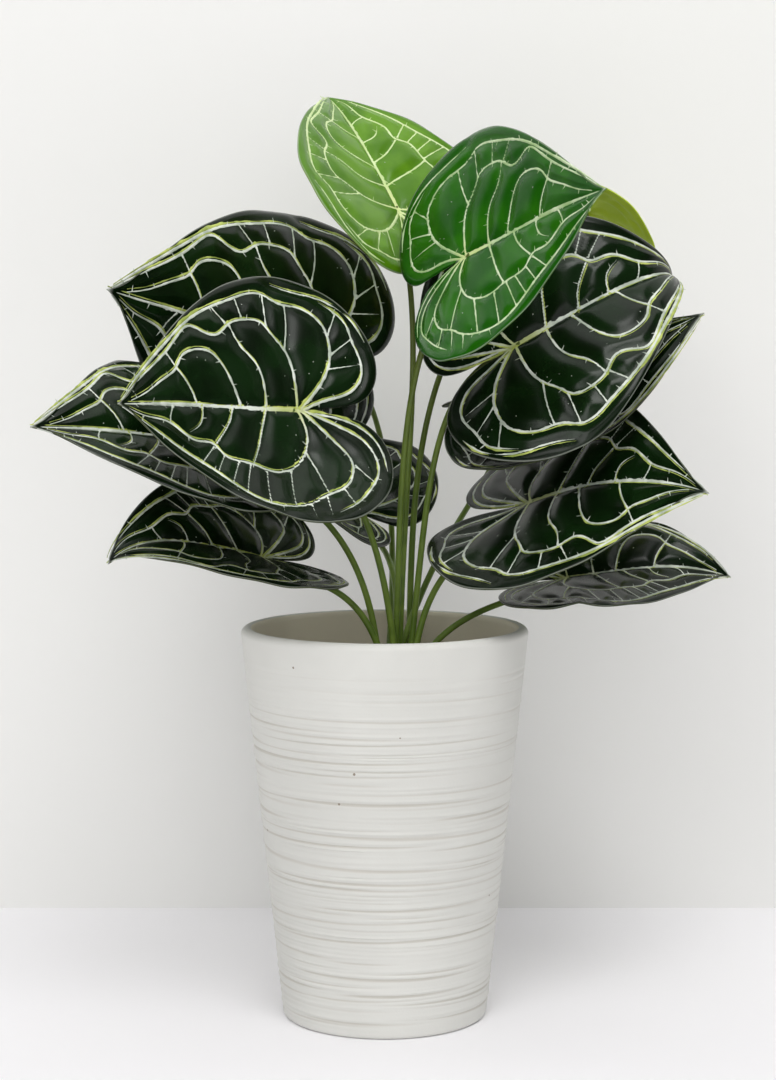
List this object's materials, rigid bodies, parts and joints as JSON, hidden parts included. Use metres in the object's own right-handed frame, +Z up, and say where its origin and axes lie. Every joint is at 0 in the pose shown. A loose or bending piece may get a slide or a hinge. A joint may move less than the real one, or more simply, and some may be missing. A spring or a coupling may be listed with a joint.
{
  "type": "potted foliage plant",
  "caption": "House plant with large heart-shaped, pale-veined leaves on slender stems in a tall tapered ceramic pot.",
  "frame": {"origin": "centre of the pot's flat base, on the surface it stands on", "axes": "+Z up along the pot's axis; the pictured front faces -Y, with +X to the right"},
  "size_m": [0.4235, 0.2981, 0.5844],
  "materials": {
    "pot": "matt, finely ribbed",
    "soil": "rough, crumbly",
    "stem": "satin",
    "leaf_dark": "satin, pale printed veins",
    "leaf_lime": "satin, pale printed veins",
    "leaf_green": "satin, pale printed veins",
    "leaf_olive": "satin"
  },
  "bodies": {
    "root": {"pot": "pot", "soil": "soil", "leaf_top_left": "leaf_lime", "leaf_top_front": "leaf_green", "leaf_top_back": "leaf_olive", "leaf_left_upper": "leaf_dark", "leaf_left_front": "leaf_dark", "leaf_left_outer": "leaf_dark", "leaf_left_low": "leaf_dark", "leaf_centre_back": "leaf_dark", "leaf_right_big": "leaf_dark", "leaf_right_back": "leaf_dark", "leaf_right_middle": "leaf_dark", "leaf_right_low": "leaf_dark", "stem_top_left": "stem", "stem_top_front": "stem", "stem_top_back": "stem", "stem_left_upper": "stem", "stem_left_front": "stem", "stem_left_outer": "stem", "stem_left_low": "stem", "stem_centre_back": "stem", "stem_right_big": "stem", "stem_right_back": "stem", "stem_right_middle": "stem", "stem_right_low": "stem"}
  },
  "joints": []
}
